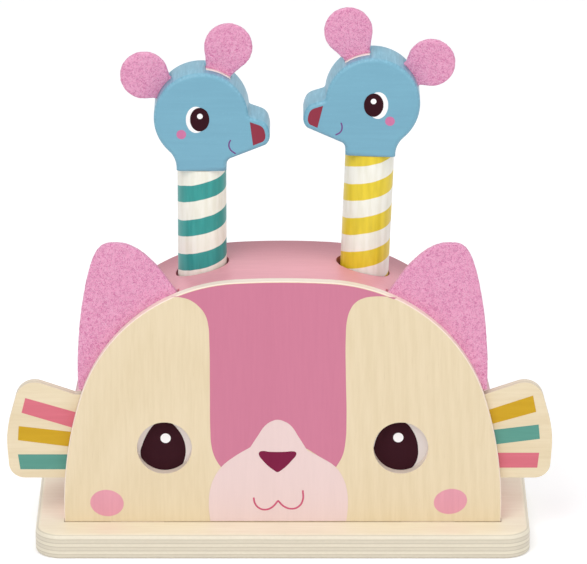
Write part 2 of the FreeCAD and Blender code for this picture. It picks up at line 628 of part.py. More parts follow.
# Rails that hold the slider against the front panel
for label, edge, up in (("slider_rail_lower", slider_low - size("slider_gap"), 1),
                        ("slider_rail_upper", slider_high + size("slider_gap"), -1)):
    rail = new_body(label)
    section = new_sketch(rail, "YZ_Plane", label + "_section")
    deep = size("slider_thick") + 2 * size("slider_gap")
    lip_back = deep + size("rail_lip_thick")
    foot = -up * size("rail_width")
    lip = up * size("rail_lip")
    draw(section, rounded([(0, foot, 0), (lip_back, foot, 0), (lip_back, lip, 0),
                           (deep, lip, 0), (deep, 0, 0), (0, 0, 0)]))
    strip = pad(rail, section, label + "_pad", "Sizes.rail_length")
    strip.Midplane = True
    place(rail, y=FACE_BACK, z="%s %s" % (BASE_TOP, {
        1: "+ Sizes.slider_bottom - Sizes.slider_gap",
        -1: "+ Sizes.slider_bottom + Sizes.slider_height + Sizes.slider_gap"}[up]))


# Felt cat ears, glued behind the front panel in the roof's rebates
def cat_ear_outline(sign):
    low, top = base_top + size("cat_ear_low"), base_top + size("cat_ear_top")
    reach, inner = size("cat_ear_reach"), size("cat_ear_inner")
    tab, tab_low = size("cat_ear_tab"), low + size("cat_ear_tab_rise")
    lip_z = outline_z(inner)
    foot = (reach, low)
    swell = (reach + size("cat_ear_swell_out"), base_top + size("cat_ear_swell_rise"))
    tip = (reach - size("cat_ear_tip_in"), top)
    brow = (reach - size("cat_ear_brow_in"), top - size("cat_ear_brow_drop"))
    points = [(*foot, 0), (*swell, corner_radius(foot, swell, tip, size("cat_ear_swell_share"))),
              (*tip, size("cat_ear_tip_round")), (*brow, size("cat_ear_brow_round")),
              (inner, lip_z, 0), (inner, lip_z - tab, 0),
              (outline_x(tab_low, tab), tab_low, 0), (outline_x(low, tab), low, 0)]
    return rounded([(sign * x, z, r) for x, z, r in points])


for side in SIDES:
    ear = new_body("cat_ear_" + side)
    outline = new_sketch(ear, "XZ_Plane", "cat_ear_outline_" + side)
    draw(outline, cat_ear_outline(SIDES[side]["sign"]))
    pad(ear, outline, "cat_ear_pad_" + side, "Sizes.felt_thick")
    place(ear, y="%s + Sizes.felt_gap + Sizes.felt_thick" % FACE_BACK)


# Springs
def arc_between(start, heading, end):
    """Arc from start to end that leaves along heading, and its end direction."""
    chord = end - start
    normal = heading.cross(chord)
    inward = normal.cross(heading).normalize()
    radius = chord.Length ** 2 / (2 * chord.dot(inward))
    centre = start + inward * radius
    out = ((start - centre) + (end - centre)).normalize()
    return Part.Arc(start, centre + out * radius, end)


def coil(height):
    """Compression spring of round wire, standing on Z = 0, its turns in quarter turn biarcs."""
    radius, wire, gap = size("coil_radius"), size("wire_dia"), size("coil_gap")
    low = wire / 2 + gap
    rise = height - 2 * low
    quarters = int(round(4 * size("coil_turns")))
    climb = rise / quarters / (math.pi / 2)

    def station(i):
        a = i * math.pi / 2
        point = V(radius * math.cos(a), radius * math.sin(a), low + rise * i / quarters)
        return point, V(-radius * math.sin(a), radius * math.cos(a), climb).normalize()

    edges = []
    for i in range(quarters):
        (p, t), (q, u) = station(i), station(i + 1)
        v, s = q - p, t + u
        k = 2 * (1 - t.dot(u))
        d = (-v.dot(s) + math.sqrt(v.dot(s) ** 2 + k * v.dot(v))) / k
        joint = (p + t * d + q - u * d) * 0.5
        edges.append(arc_between(p, t, joint).toShape())
        back = arc_between(q, u * -1, joint)
        edges.append(Part.Arc(joint, back.value((back.FirstParameter + back.LastParameter) / 2), q).toShape())
    path = Part.Wire(edges)
    start, heading = station(0)
    ring = Part.Wire(Part.makeCircle(wire / 2, start, heading))
    pipe = path.makePipeShell([ring], True, False)
    print("spring: pitch %.2f mm, free gap between turns %.2f mm" % (
        rise / size("coil_turns"), rise / size("coil_turns") - wire))
    return pipe


# One mouse on its rod, with its collar, spring cap and spring
def mouse_place(body, side, drop="0 mm"):
    """Puts a piece drawn about the rod line, with its neck at Z = 0, where the mouse is at rest."""
    info = SIDES[side]
    neck = "(Sizes.base_thick + Sizes.%s)" % info["neck"]
    place(body, "%d * Sizes.bore_spacing / 2 + (%s - %s) * tan(%s)" % (
        info["sign"], neck, LEAN_PIVOT, info["lean"]), ROD_LINE, neck, info["lean"])


def mirrored(edge):
    """The line or arc on the other side of the rod line."""
    marks = [edge.StartPoint, edge.EndPoint]
    if not isinstance(edge, Part.LineSegment):
        marks.insert(1, edge.value((edge.FirstParameter + edge.LastParameter) / 2))
    marks = [V(-m.x, m.y, 0) for m in marks]
    return Part.Arc(*marks) if len(marks) == 3 else Part.LineSegment(*marks)


def head_outline(sign):
    """Mouse head from the side, its snout towards +X where sign is 1."""
    half, centre = size("neck_width") / 2, (0, size("head_rise"))
    radius, nape = size("head_radius"), size("nape_radius")
    nape_x = -half - nape
    nape_z = size("head_rise") - math.sqrt((radius + nape) ** 2 - nape_x ** 2)
    join = math.degrees(math.atan2(nape_z - size("head_rise"), nape_x))
    reach, low = size("snout_reach"), size("snout_low")
    tip = V(reach - size("snout_slant"), size("snout_high"), 0)
    along = V(-1, size("bridge_slope"), 0).normalize()
    above = V(along.y, -along.x, 0)
    crease = size("bridge_radius")
    run = tip + above * crease - V(centre[0], centre[1], 0)
    back = run.dot(along)
    hollow = tip + above * crease - along * (
        back + math.sqrt(back ** 2 - run.dot(run) + (radius + crease) ** 2))
    brow_angle = math.degrees(math.atan2(hollow.y - centre[1], hollow.x))
    brow = polar(centre, radius, brow_angle)
    bridge = hollow - above * crease
    deepest = hollow + ((brow - hollow) + (bridge - hollow)).normalize() * crease
    edges = [line((-half, 0), (half, 0))]
    edges += rounded([(half, 0, 0), (half, size("throat_rise"), size("throat_radius")),
                      (reach, low, size("snout_low_round")), (tip.x, tip.y, size("snout_high_round")),
                      (bridge.x, bridge.y, 0)], closed=False)
    edges.append(Part.Arc(bridge, deepest, brow))
    edges.append(arc(centre, radius, brow_angle, 360 + join))
    edges.append(arc((nape_x, nape_z), nape, join + 180, 0))
    if nape_z > 1e-6:
        edges.append(line((-half, nape_z), (-half, 0)))
    return edges if sign > 0 else [mirrored(e) for e in edges]


EARS = {"back": ("back_ear_out", "back_ear_rise", -1), "front": ("front_ear_out", "front_ear_rise", 1)}


def ear_frame(which, sign):
    """Centre of a mouse's ear and the direction from it to the head's centre."""
    out, rise, way = EARS[which]
    centre = V(sign * way * size(out), size(rise), 0)
    inward = (V(0, size("head_rise"), 0) - centre).normalize()
    return centre, inward


def ear_strip(which, sign, width, start, end):
    """Rectangle along the ear's stem, from start to end measured from the head's round inwards."""
    centre, inward = ear_frame(which, sign)
    across = V(-inward.y, inward.x, 0) * (width / 2)
    rim = V(0, size("head_rise"), 0) - inward * size("head_radius")
    corners = [rim + inward * start + across, rim + inward * start - across,
               rim + inward * end - across, rim + inward * end + across]
    return rounded([(c.x, c.y, 0) for c in corners])


def felt_ear(which, sign):
    """Round ear that narrows to its stem, and the stem down in the slot."""
    centre, inward = ear_frame(which, sign)
    radius, half = size("ear_radius"), size("ear_neck") / 2
    across = V(-inward.y, inward.x, 0)
    rim = V(0, size("head_rise"), 0) - inward * size("head_radius")
    foot = rim + inward * size("ear_sink")
    turn = math.radians(size("ear_shoulder"))
    shoulders = [centre + inward * (radius * math.cos(turn)) + across * (way * radius * math.sin(turn))
                 for way in (1, -1)]
    corners = [shoulders[1], rim - across * half, foot - across * half,
               foot + across * half, rim + across * half, shoulders[0]]
    return [Part.Arc(shoulders[0], centre - inward * radius, shoulders[1])] + [
        Part.LineSegment(a, b) for a, b in zip(corners, corners[1:])]


for side in SIDES:
    info = SIDES[side]
    facing = -info["sign"]
    neck_z = base_top + size(info["neck"])

    head = new_body(side + "_head")
    profile = new_sketch(head, "XZ_Plane", side + "_head_outline", "Sizes.head_thick / 2")
    draw(profile, head_outline(facing))
    block = pad(head, profile, side + "_head_pad", "Sizes.head_thick", reverse=True)
    half_t = size("head_thick") / 2
    fillet(head, block, side + "_head_edges", "Sizes.head_round", lambda e: (
        in_plane(e, "y", half_t) or in_plane(e, "y", -half_t)) and e.BoundBox.ZMax > 1e-3)
    socket = new_sketch(head, "XY_Plane", side + "_head_socket")
    draw_circle(socket, "socket", "0 mm", "0 mm", "Sizes.head_dowel_dia + 2 * Sizes.fit_gap")
    pocket(head, socket, side + "_head_socket_cut", "Sizes.head_dowel_length / 2 + Sizes.fit_gap", reverse=True)
    for which in EARS:
        slot = new_sketch(head, "XZ_Plane", "%s_%s_ear_slot" % (side, which),
                          "-Sizes.felt_thick / 2 - Sizes.felt_gap")
        draw(slot, ear_strip(which, facing, size("ear_neck") + 2 * size("felt_gap"),
                             -size("head_radius") / 3, size("ear_sink") + size("felt_gap")))
        pocket(head, slot, "%s_%s_ear_slot_cut" % (side, which),
               "Sizes.felt_thick + 2 * Sizes.felt_gap", reverse=True)
    mouse_place(head, side)

    for which in EARS:
        ear = new_body("%s_%s_ear" % (side, which))
        outline = new_sketch(ear, "XZ_Plane", "%s_%s_ear_outline" % (side, which), "-Sizes.felt_thick / 2")
        draw(outline, felt_ear(which, facing))
        pad(ear, outline, "%s_%s_ear_pad" % (side, which), "Sizes.felt_thick")
        mouse_place(ear, side)

    rod = new_body(side + "_rod")
    section = new_sketch(rod, "XZ_Plane", side + "_rod_section")
    r, tenon = size("rod_dia") / 2, size("tenon_dia") / 2
    bottom, shoulder = -size("rod_below_neck"), size("collar_thick") - size("rod_below_neck")
    hole, hole_deep = size("head_dowel_dia") / 2 + size("fit_gap"), size("head_dowel_length") / 2 + size("fit_gap")
    pilot, pilot_top = size("screw_dia") / 2 + size("fit_gap"), bottom + size("collar_screw_length") + size("fit_gap")
    draw(section, rounded([(pilot, bottom, 0), (tenon, bottom, 0), (tenon, shoulder, 0), (r, shoulder, 0),
                           (r, 0, 0), (hole, 0, 0), (hole, -hole_deep, 0), (0, -hole_deep, 0),
                           (0, pilot_top, 0), (pilot, pilot_top, 0)]))
    revolve(rod, section, side + "_rod_turned")
    mouse_place(rod, side)

    dowel = new_body(side + "_head_dowel")
    section = new_sketch(dowel, "XY_Plane", side + "_dowel_round", "-Sizes.head_dowel_length / 2")
    draw_circle(section, "dowel", "0 mm", "0 mm", "Sizes.head_dowel_dia")
    pad(dowel, section, side + "_dowel_pad", "Sizes.head_dowel_length")
    mouse_place(dowel, side)

    collar = new_body(side + "_collar")
    section = new_sketch(collar, "XY_Plane", side + "_collar_ring", "-Sizes.rod_below_neck")
    draw_circle(section, "outside", "0 mm", "0 mm", "Sizes.collar_dia")
    draw_circle(section, "bore", "0 mm", "0 mm", "Sizes.tenon_dia + 2 * Sizes.fit_gap")
    pad(collar, section, side + "_collar_pad", "Sizes.collar_thick")
    mouse_place(collar, side)

    fixing = doc.addObject("Part::Feature", side + "_collar_screw")
    fixing.Label = side + "_collar_screw"
    fixing.Shape = screw(size("collar_screw_length"), V(0, 0, bottom - size("screw_head_thick")))
    mouse_place(fixing, side)

    cap = new_body(side + "_spring_cap")
    section = new_sketch(cap, "XZ_Plane", side + "_cap_section")
    top = bottom - size("cap_gap")
    flange, boss, bore = size("cap_dia") / 2, size("cap_boss_dia") / 2, size("cap_bore") / 2
    under = top - size("cap_thick")
    draw(section, rounded([(bore, top, 0), (flange, top, 0), (flange, under, 0), (boss, under, 0),
                           (boss, under - size("cap_boss_length"), 0), (bore, under - size("cap_boss_length"), 0)]))
    revolve(cap, section, side + "_cap_turned")
    mouse_place(cap, side)

    spring = doc.addObject("Part::Feature", side + "_spring")
    spring.Label = side + "_spring"
    lean = math.radians(size("right_lean")) if side == "right" else 0.0
    rise = neck_z + under * math.cos(lean) - flange * math.sin(lean) - base_top
    spring.Shape = coil(rise)
    place(spring, seat_x(side), ROD_LINE, BASE_TOP)

    peg = doc.addObject("Part::Cylinder", side + "_spring_peg")
    peg.Label = side + "_spring_peg"
    peg.setExpression("Radius", "Sizes.peg_dia / 2")
    peg.setExpression("Height", "Sizes.peg_sink + Sizes.peg_stand")
    place(peg, seat_x(side), ROD_LINE, "%s - Sizes.peg_sink" % BASE_TOP)

doc.recompute()

# Checks, then one STEP file for each sub-part
parts = [o for o in doc.Objects if o.TypeId in ("PartDesign::Body", "Part::Feature", "Part::Cylinder")]
for thing in doc.Objects:
    if "Invalid" in thing.State or "Error" in thing.State:
        raise RuntimeError("%s is in state %s" % (thing.Label, thing.State))
for thing in parts:
    if thing.Shape.isNull() or not thing.Shape.isValid():
        raise RuntimeError("%s has no valid shape" % thing.Label)
os.makedirs("parts", exist_ok=True)
for thing in parts:
    thing.Shape.exportStep("parts/%s.step" % thing.Label)
print("%d sub-parts" % len(parts))
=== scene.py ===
"""Looks of the wooden pop up animal toy: plywood, printed faces, painted mice and felt ears."""
import bmesh
import bpy
import json
import math
from mathutils import Matrix, Vector


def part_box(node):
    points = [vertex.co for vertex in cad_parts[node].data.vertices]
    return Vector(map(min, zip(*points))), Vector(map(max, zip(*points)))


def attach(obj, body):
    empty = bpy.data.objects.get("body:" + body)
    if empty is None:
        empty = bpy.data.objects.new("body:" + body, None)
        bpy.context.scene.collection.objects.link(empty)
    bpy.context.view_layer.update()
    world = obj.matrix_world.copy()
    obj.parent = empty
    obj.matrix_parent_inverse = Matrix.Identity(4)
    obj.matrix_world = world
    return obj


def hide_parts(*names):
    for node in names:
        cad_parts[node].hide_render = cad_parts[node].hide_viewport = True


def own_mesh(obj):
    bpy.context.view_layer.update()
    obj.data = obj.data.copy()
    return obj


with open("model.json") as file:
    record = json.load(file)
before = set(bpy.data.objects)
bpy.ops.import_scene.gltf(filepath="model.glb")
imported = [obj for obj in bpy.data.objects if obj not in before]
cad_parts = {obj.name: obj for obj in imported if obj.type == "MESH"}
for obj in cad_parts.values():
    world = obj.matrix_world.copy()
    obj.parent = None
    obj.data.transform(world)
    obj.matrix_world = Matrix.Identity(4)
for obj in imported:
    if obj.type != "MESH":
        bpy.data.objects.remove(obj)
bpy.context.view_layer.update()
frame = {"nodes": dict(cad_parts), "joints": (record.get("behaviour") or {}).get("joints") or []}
nodes = frame["nodes"]
joints = {j["name"]: j for j in frame["joints"]}
MM = 0.001

# Where things are, read from the frame
face_low, face_high = (Vector(c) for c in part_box("front_panel"))
FACE_Y = face_low.y
TAB_FOOT = face_low.z
slider_low = Vector(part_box("whisker_slider")[0])
SLIDER_Y = slider_low.y
roof_low, roof_high = (Vector(c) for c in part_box("roof_arch"))
HEAD_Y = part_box("left_head")[0][1]
RIGHT_AXIS = Vector(joints["right_lift"]["axis"])
LEAN = {"left": 0.0, "right": math.atan2(RIGHT_AXIS.x, RIGHT_AXIS.z)}
NECK = {side: Vector(joints[side + "_spin"]["pos_m"]) for side in LEAN}

# A printed film's thickness, and how deep it sits in the face that it lies on
FILM = 0.06 * MM
FILM_SUNK = 0.02 * MM


# Shader expressions
class Shade:
    """Node tree of one material, built from Python expressions."""

    def __init__(self, name):
        self.material = bpy.data.materials.new(name)
        self.material.use_nodes = True
        self.tree = self.material.node_tree
        self.surface = self.tree.nodes["Principled BSDF"]

    def node(self, kind, settings=None, **values):
        """A node, its settings and then the values or links of its sockets."""
        made = self.tree.nodes.new(kind)
        for key, value in (settings or {}).items():
            setattr(made, key, value)
        for key, value in values.items():
            self.feed(made.inputs[key.replace("_", " ")], value)
        return made

    def feed(self, socket, value):
        if isinstance(value, Value):
            self.tree.links.new(value.socket, socket)
        elif isinstance(value, bpy.types.NodeSocket):
            self.tree.links.new(value, socket)
        else:
            socket.default_value = value

    def math(self, operation, *values):
        made = self.node("ShaderNodeMath", {"operation": operation})
        for socket, value in zip(made.inputs, values):
            self.feed(socket, value)
        return Value(self, made.outputs[0])

    def place(self, location=(0, 0, 0), rotation=(0, 0, 0), scale=(1, 1, 1)):
        """Object coordinates, moved, turned and scaled."""
        where = self.node("ShaderNodeTexCoord").outputs["Object"]
        made = self.node("ShaderNodeMapping", {"vector_type": "TEXTURE"}, Vector=where)
        made.inputs["Location"].default_value = location
        made.inputs["Rotation"].default_value = rotation
        made.inputs["Scale"].default_value = scale
        return made.outputs[0]

    def axes(self, vector):
        split = self.node("ShaderNodeSeparateXYZ", Vector=vector)
        return [Value(self, s) for s in split.outputs]

    def noise(self, vector, scale, detail=2.0, roughness=0.5, distortion=0.0):
        made = self.node("ShaderNodeTexNoise", Vector=vector, Scale=scale, Detail=detail,
                         Roughness=roughness, Distortion=distortion)
        return Value(self, made.outputs["Fac"])

    def voronoi(self, vector, scale):
        made = self.node("ShaderNodeTexVoronoi", Vector=vector, Scale=scale)
        return Value(self, made.outputs["Distance"])

    def step(self, value, low, high):
        """0 below low, 1 above high, smooth between."""
        made = self.node("ShaderNodeMapRange", {"interpolation_type": "SMOOTHSTEP"}, Value=value)
        made.inputs["From Min"].default_value = low
        made.inputs["From Max"].default_value = high
        return Value(self, made.outputs["Result"])

    def mix(self, factor, a, b):
        made = self.node("ShaderNodeMix", {"data_type": "RGBA"})
        self.feed(made.inputs["Factor"], factor)
        self.feed(made.inputs["A"], a)
        self.feed(made.inputs["B"], b)
        return made.outputs["Result"]

    def finish(self, color, roughness=0.5, bump=None, strength=0.2, distance=0.0002, **fixed):
        """Links the surface's own sockets. Fixed values such as Specular_IOR_Level are set plainly."""
        self.feed(self.surface.inputs["Base Color"], color)
        self.feed(self.surface.inputs["Roughness"], roughness)
        for key, value in fixed.items():
            self.surface.inputs[key.replace("_", " ")].default_value = value
        if bump is not None:
            made = self.node("ShaderNodeBump", Strength=strength, Distance=distance, Height=bump)
            self.tree.links.new(made.outputs[0], self.surface.inputs["Normal"])
        return self.material


class Value:
    """A number socket that takes part in Python arithmetic."""

    def __init__(self, shade, socket):
        self.shade, self.socket = shade, socket

    def __add__(self, other):
        return self.shade.math("ADD", self, other)

    def __sub__(self, other):
        return self.shade.math("SUBTRACT", self, other)

    def __mul__(self, other):
        return self.shade.math("MULTIPLY", self, other)

    def __truediv__(self, other):
        return self.shade.math("DIVIDE", self, other)

    def __rsub__(self, other):
        return self.shade.math("SUBTRACT", other, self)


def srgb(red, green, blue):
    """Linear colour of an 8 bit screen colour."""
    return tuple([((c / 255 + 0.055) / 1.055) ** 2.4 if c > 10 else c / 255 / 12.92
                  for c in (red, green, blue)] + [1.0])


def shifted(color, levels):
    """Linear colour of an 8 bit colour made lighter, or darker by negative levels."""
    return srgb(*[min(255, max(0, c + levels)) for c in color])


def grain(shade, along, seed=0.0):
    """Streaks of wood that run along an axis: a broad and a fine noise, each 0 to 1."""
    long, across = 150 * MM, 11 * MM
    scale = [long if axis == along else across for axis in "xyz"]
    where = shade.place(location=(seed, seed, seed), scale=scale)
    broad = shade.noise(where, 1.0, 3.0, 0.55, 0.4)
    fine = shade.noise(where, 9.0, 4.0, 0.6)
    return broad, fine


def arches(shade, middle, width, rise):
    """Cathedral figure of flat cut veneer: growth rings that arch up on each side of a line, 0 to 1."""
    x, _, z = shade.axes(shade.place())
    bend = (x - middle) / width
    sway = shade.noise(shade.place(scale=(60 * MM, 60 * MM, 60 * MM)), 1.0, 2.0)
    rings = shade.math("PINGPONG", bend * bend + z / rise + sway * 1.6, 1.0)
    return shade.step(rings, 0.15, 0.95)


def on_flat(shade, axis):
    """1 on the flat faces square to an axis, 0 on the edges round them."""
    normal = shade.axes(shade.node("ShaderNodeNewGeometry").outputs["Normal"])["xyz".index(axis)]
    return shade.step(shade.math("ABSOLUTE", normal), 0.75, 0.97)


def layers(shade, axis, low, ply):
    """Glued layers on a plywood edge: 0 on one and 1 on the next, and the thin lines of glue between."""
    place = shade.axes(shade.place())["xyz".index(axis)]
    wander = shade.noise(shade.place(scale=(25 * MM, 25 * MM, 25 * MM)), 1.0, 2.0) - 0.5
    layer = shade.math("PINGPONG", (place - low) / ply + wander * 0.18, 1.0)
    glue = 1.0 - shade.step(shade.math("ABSOLUTE", layer - 0.5), 0.04, 0.2)
    return shade.step(layer, 0.34, 0.66), glue


def face_plywood():
    """The cat face: pale varnished birch with faint upright arches, and a cream sanded edge. The
    foot of its tabs has a dark band of painted shade, inside the base board."""
    shade = Shade("birch face")
    broad, fine = grain(shade, "z")
    figure = arches(shade, middle=-48 * MM, width=24 * MM, rise=26 * MM)
    streaks = shade.step(broad * 0.3 + fine * 0.6 + figure * 0.1, 0.3, 0.7)
    face = shade.mix(streaks, srgb(228, 209, 172), srgb(235, 217, 183))
    pores = shade.noise(shade.place(scale=(0.5 * MM, 0.5 * MM, 6 * MM)), 1.0, 3.0)
    face = shade.mix(shade.step(pores, 0.6, 0.8) * 0.3, face, srgb(206, 182, 142))
    layer, glue = layers(shade, "y", low=FACE_Y, ply=1.3 * MM)
    edge = shade.mix(layer * 0.2 + glue * 0.25, srgb(250, 234, 220), srgb(222, 196, 166))
    height = shade.axes(shade.place())[2]
    # Painted shade: a dark band at the foot of the tabs, where the panel meets the base board
    tab_foot_shade = 1.0 - shade.step(height, TAB_FOOT + 0.3 * MM, TAB_FOOT + 0.75 * MM)
    color = shade.mix(on_flat(shade, "y"), edge, face)
    color = shade.mix(tab_foot_shade * 0.85, color, srgb(112, 84, 50))
    return shade.finish(color, broad * 0.1 + 0.4, fine * 0.6 + pores * 0.4, 0.1, 0.00015,
                        Coat_Weight=0.2, Coat_Roughness=0.35)


def base_plywood():
    """The base board: pale top with a line of painted shade at the face's foot, grey cream layers on its
    edge.
    """
    shade = Shade("birch base")
    broad, fine = grain(shade, "x", 0.3)
    streaks = shade.step(broad * 0.5 + fine * 0.5, 0.3, 0.7)
    top = shade.mix(streaks, srgb(238, 225, 199), srgb(246, 236, 213))
    x, y, _ = shade.axes(shade.place())
    # Painted shade: a dark line on the top just in front of the face, where the panel stands on the
    # board
    foot = shade.step(y, FACE_Y - 0.45 * MM, FACE_Y - 0.1 * MM)
    foot = foot * (1.0 - shade.step(y, face_high.y, face_high.y + 0.4 * MM))
    foot = foot * (1.0 - shade.step(shade.math("ABSOLUTE", x), face_high.x, face_high.x + 0.4 * MM))
    top = shade.mix(foot * 0.85, top, srgb(140, 108, 70))
    pores = shade.noise(shade.place(scale=(1.4 * MM, 1.4 * MM, 0.4 * MM)), 1.0, 3.0)
    light = shade.mix(pores, srgb(238, 230, 210), srgb(226, 217, 196))
    dark = shade.mix(pores, srgb(228, 219, 199), srgb(216, 207, 187))
    layer, glue = layers(shade, "z", low=1.1 * MM, ply=1.63 * MM)
    edge = shade.mix(layer, dark, light)
    edge = shade.mix(glue * 0.55, edge, srgb(190, 178, 156))
    color = shade.mix(on_flat(shade, "z"), edge, top)
    return shade.finish(color, broad * 0.1 + 0.42, fine * 0.6 + pores * 0.4, 0.1, 0.00015,
                        Coat_Weight=0.15, Coat_Roughness=0.4)


def slider_plywood():
    """The slider: like the face, with a light brown cut edge."""
    shade = Shade("birch whiskers")
    broad, fine = grain(shade, "x", 0.7)
    streaks = shade.step(broad * 0.6 + fine * 0.4, 0.3, 0.7)
    face = shade.mix(streaks, srgb(226, 207, 170), srgb(238, 222, 190))
    layer, glue = layers(shade, "y", low=SLIDER_Y, ply=1.3 * MM)
    edge = shade.mix(layer * 0.4 + glue * 0.4, srgb(228, 214, 192), srgb(190, 172, 146))
    color = shade.mix(on_flat(shade, "y"), edge, face)
    return shade.finish(color, broad * 0.1 + 0.42, fine, 0.1, 0.00015,
                        Coat_Weight=0.15, Coat_Roughness=0.4)


def painted(name, color, shadow, along="x", rough=0.4, seed=0.0, painted_shade=None, end_grain=0.0):
    """Satin paint on wood, with grain and brush unevenness showing through. The painted shade, if
    given, is a deeper tone that the paint takes from one place along Y to another. end_grain is how
    much the sawn sides between the flat faces show pale streaks."""
    shade = Shade(name)
    broad, fine = grain(shade, along, seed)
    tone = shade.mix(shade.step(broad * 0.5 + fine * 0.5, 0.3, 0.75), srgb(*shadow), srgb(*color))
    # Painted shade: the paint darkens from one place along Y to another, as if less light fell there
    if painted_shade:
        deep, start, end = painted_shade
        back = shade.step(shade.axes(shade.place())[1], start, end)
        tone = shade.mix(back * 0.75, tone, srgb(*deep))
    if end_grain:
        sawn = shade.noise(shade.place(scale=(0.9 * MM, 9 * MM, 0.9 * MM)), 1.0, 3.0)
        sides = (1.0 - on_flat(shade, "y")) * end_grain
        tone = shade.mix(sides * shade.step(sawn, 0.45, 0.7), tone, shifted(color, 50))
        tone = shade.mix(sides * (1.0 - shade.step(sawn, 0.3, 0.45)), tone, shifted(shadow, -40))
    speckle = shade.noise(shade.place(scale=(0.8 * MM, 0.8 * MM, 0.8 * MM)), 1.0, 3.0)
    tone = shade.mix(shade.step(speckle, 0.55, 0.8) * 0.12, tone, shifted(color, 26))
    return shade.finish(tone, broad * 0.14 + (rough - 0.05), fine * 0.7 + speckle * 0.3, 0.12, 0.00015,
                        Coat_Weight=0.12, Coat_Roughness=0.3)


def ink(name, color, along="z", amount=0.5, rough=0.45, gloss=0.35):
    """Printed ink that lets a trace of the wood's figure through."""
    shade = Shade(name)
    broad, fine = grain(shade, along)
    streaks = shade.step(broad * 0.5 + fine * 0.5, 0.3, 0.72)
    tone = shade.mix(streaks * amount, srgb(*color), shifted(color, 16))
    return shade.finish(tone, rough, fine, 0.08, 0.00012, Specular_IOR_Level=gloss)


def felt(name, color, light, dark):
    """Wool felt: matted fibres, mottled in tone."""
    shade = Shade(name)
    here = shade.place()
    clumps = shade.noise(here, 1100.0, 3.0, 0.65, 1.2)
    fibres = shade.noise(here, 1900.0, 3.0, 0.75, 3.0)
    cells = shade.voronoi(here, 1500.0)
    tone = shade.mix(shade.step(clumps, 0.38, 0.56), srgb(*dark), srgb(*color))
    tone = shade.mix(shade.step(fibres, 0.5, 0.6) * 0.9, tone, srgb(*light))
    tone = shade.mix((1.0 - shade.step(cells, 0.05, 0.25)) * 0.6, tone, srgb(*dark))
    return shade.finish(tone, 0.95, clumps * 0.6 + fibres * 0.5 + cells * 0.3, 0.8, 0.0006,
                        Sheen_Weight=0.25, Sheen_Roughness=0.6, Specular_IOR_Level=0.1)


def striped(name, color, period, phase, share, neck, lean):
    """White painted rod with one coloured band wound round it as a helix, about the rod's line
    through the neck. share is the band's part of each period, and phase is where it starts."""
    shade = Shade(name)
    x, y, z = shade.axes(shade.place(neck, (0, lean, 0)))
    turn = shade.math("ARCTAN2", y, x) / (2 * math.pi)
    wobble = (shade.noise(shade.place(scale=(7 * MM, 7 * MM, 7 * MM)), 1.0, 2.0) - 0.5) * 0.05
    along = shade.math("FRACT", z / period + (phase + 100.0) - turn + wobble)
    band = shade.step(along, 0.0, 0.02) * (1.0 - shade.step(along, share, share + 0.02))
    fine = shade.noise(shade.place(scale=(2.5 * MM, 2.5 * MM, 18 * MM)), 1.0, 4.0)
    pores = shade.noise(shade.place(scale=(0.5 * MM, 0.5 * MM, 5 * MM)), 1.0, 3.0)
    white = shade.mix(shade.step(fine, 0.3, 0.7), srgb(238, 236, 220), srgb(250, 249, 238))
    deep = shade.mix(shade.step(fine, 0.3, 0.7), shifted(color, -16), srgb(*color))
    tone = shade.mix(band, white, deep)
    tone = shade.mix(shade.step(pores, 0.62, 0.85) * 0.15, tone, srgb(190, 176, 156))
    # Painted shadow: a dark ring on the rod just under the neck, where the head's underside overhangs it
    tone = shade.mix(shade.step(z, -0.55 * MM, -0.2 * MM) * 0.55, tone, srgb(96, 88, 70))
    return shade.finish(tone, fine * 0.15 + 0.33, fine * 0.4 + pores * 0.3 + band * 0.5, 0.15, 0.0002,
                        Coat_Weight=0.12, Coat_Roughness=0.3)


def steel(name):
    shade = Shade(name)
    fine = shade.noise(shade.place(scale=(0.6 * MM, 0.6 * MM, 4 * MM)), 1.0, 3.0)
    tone = shade.mix(fine, srgb(150, 150, 148), srgb(200, 200, 198))
    return shade.finish(tone, fine * 0.2 + 0.25, fine, 0.1, 0.0001, Metallic=1.0)


def plain_wood(name, light, dark, along="x"):
    shade = Shade(name)
    broad, fine = grain(shade, along, 0.5)
    tone = shade.mix(shade.step(broad * 0.6 + fine * 0.4, 0.3, 0.7), srgb(*dark), srgb(*light))
    return shade.finish(tone, 0.6, fine, 0.15, 0.0002)


def moulded(name, color):
    shade = Shade(name)
    fine = shade.noise(shade.place(scale=(1 * MM, 1 * MM, 1 * MM)), 1.0, 2.0)
    tone = shade.mix(fine, srgb(*color), shifted(color, -12))
    return shade.finish(tone, 0.45, fine, 0.05, 0.0001)


# Finishes
FACE_PLY = face_plywood()
BASE_PLY = base_plywood()
SLIDER_PLY = slider_plywood()
# The roof's pink darkens towards its back edge: painted shade
ROOF_PINK = painted("roof pink", (238, 166, 178), (228, 152, 165),
                    painted_shade=((156, 78, 94), roof_low.y + 13 * MM, roof_high.y - 1 * MM))
MOUSE_BLUE = painted("mouse blue", (118, 175, 197), (112, 167, 190), seed=0.2, end_grain=0.2)
INSIDE_WOOD = plain_wood("plain beech", (222, 190, 148), (200, 164, 120))
SLOT_WOOD = plain_wood("slot wood", (250, 238, 232), (238, 218, 214))
FELT_PINK = felt("pink felt", (246, 162, 202), (255, 212, 232), (214, 106, 162))
STEEL = steel("bright steel")
CAP_PLASTIC = moulded("cap plastic", (225, 222, 214))
STRIPE_PINK = ink("stripe pink", (206, 122, 149), amount=0.25)
MUZZLE_PINK = ink("muzzle pink", (234, 209, 206), amount=0.3)
NOSE_MAROON = ink("nose maroon", (124, 30, 66), amount=0.2, gloss=0.1)
MOUTH_PINK = ink("mouth pink", (205, 88, 120), amount=0.2)
CHEEK_PINK = ink("cheek pink", (225, 153, 170))
EYE_WHITE = ink("eye white", (232, 224, 220), amount=0.2)
